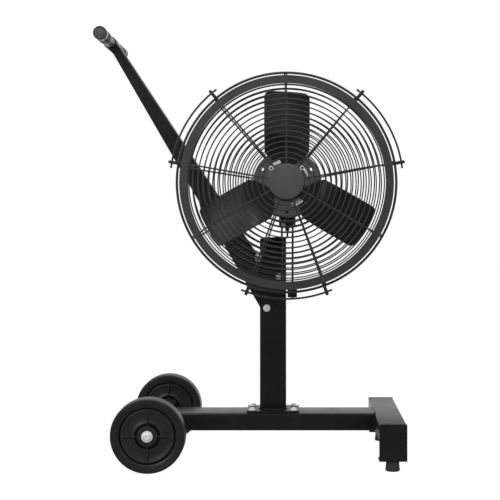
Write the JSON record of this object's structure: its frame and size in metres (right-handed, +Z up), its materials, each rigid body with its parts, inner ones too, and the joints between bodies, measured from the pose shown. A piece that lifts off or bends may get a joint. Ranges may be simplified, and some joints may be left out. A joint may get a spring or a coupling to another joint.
{
  "type": "wheeled pedestal fan",
  "caption": "Wire-caged industrial fan that tilts on a short post, on a T-shaped base with wheels at one end and rubber feet at the other, and a sloping arm with a push bar.",
  "frame": {"origin": "on the floor, at the middle of the outline seen from above", "axes": "+Z up, the air blows towards -Y, the wheels are at the -X end and the rubber feet at the +X end"},
  "size_m": [0.867, 0.5006, 1.225],
  "materials": {
    "powder_coat": "satin black powder coat with a fine orange peel",
    "guard_coat": "satin black powder coat on wire",
    "blade_paint": "satin black paint",
    "tyre": "matt black solid rubber",
    "foot_rubber": "matt black rubber",
    "grip_rubber": "matt black moulded rubber",
    "wheel_plastic": "moulded black plastic",
    "box_plastic": "finely textured black plastic",
    "zinc": "bright zinc plate, slightly yellow",
    "bar_paint": "dull grey paint, rubbed by hands",
    "bare_steel": "turned steel",
    "laminations": "stacked steel laminations"
  },
  "bodies": {
    "frame": {"base_tube": "powder_coat", "axle_cross_tube": "powder_coat", "foot_beam": "powder_coat", "foot_end_bracket_front": "powder_coat", "foot_end_bracket_rear": "powder_coat", "post": "powder_coat", "post_cap": "powder_coat", "handle_arm": "powder_coat", "bar_clamp": "powder_coat", "hanger_plate": "powder_coat", "rubber_foot_front": "foot_rubber", "rubber_foot_rear": "foot_rubber", "grip_front": "grip_rubber", "grip_rear": "grip_rubber", "base_bolt_1": "zinc", "base_bolt_2": "zinc", "base_bolt_3": "zinc", "base_bolt_4": "zinc", "arm_bolt_lower": "zinc", "arm_bolt_upper": "zinc", "pivot_bolt": "zinc", "pivot_nut": "zinc", "axle_cap_front": "zinc", "axle_cap_rear": "zinc", "handle_bar": "bar_paint", "axle": "bare_steel"},
    "wheel_front": {"tyre_front": "tyre", "wheel_rim_front": "wheel_plastic", "wheel_bush_front": "bare_steel"},
    "wheel_rear": {"tyre_rear": "tyre", "wheel_rim_rear": "wheel_plastic", "wheel_bush_rear": "bare_steel"},
    "fan_head": {"front_guard": "guard_coat", "rear_guard": "guard_coat", "band_ring": "guard_coat", "badge_disc": "guard_coat", "rim_rod_right": "guard_coat", "rim_rod_left": "guard_coat", "rim_rod_lower": "guard_coat", "motor_housing": "powder_coat", "motor_front_cover": "powder_coat", "motor_rear_cover": "powder_coat", "bearing_front": "bare_steel", "bearing_rear": "bare_steel", "stator": "laminations", "ring_plate": "powder_coat", "strut_left": "guard_coat", "strut_right": "guard_coat", "strut_clamp": "powder_coat", "control_box": "box_plastic", "control_box_cover": "box_plastic", "cable_gland": "box_plastic"},
    "rotor": {"motor_shaft": "bare_steel", "rotor_core": "laminations", "hub_disc": "blade_paint", "blade_1": "blade_paint", "blade_2": "blade_paint", "blade_3": "blade_paint"},
    "speed_knob": {"speed_knob": "box_plastic"}
  },
  "joints": [
    {"name": "wheel_front_spin", "type": "hinge", "parent": "frame", "child": "wheel_front", "pos_m": [-0.26955, 0.00195, 0.1016], "axis": [0, 1, 0], "continuous": true},
    {"name": "wheel_rear_spin", "type": "hinge", "parent": "frame", "child": "wheel_rear", "pos_m": [-0.26955, 0.00195, 0.1016], "axis": [0, 1, 0], "continuous": true},
    {"name": "head_tilt", "type": "hinge", "parent": "frame", "child": "fan_head", "pos_m": [0.10525, -0.00605, 0.682], "axis": [1, 0, 0], "range_deg": [-20, 13]},
    {"name": "rotor_spin", "type": "hinge", "parent": "fan_head", "child": "rotor", "pos_m": [0.10525, 0.00195, 0.7883], "axis": [0, 1, 0], "continuous": true},
    {"name": "speed_knob_turn", "type": "hinge", "parent": "fan_head", "child": "speed_knob", "pos_m": [0.10525, 0.01195, 0.8783], "axis": [0, 1, 0], "range_deg": [0, 135]}
  ]
}
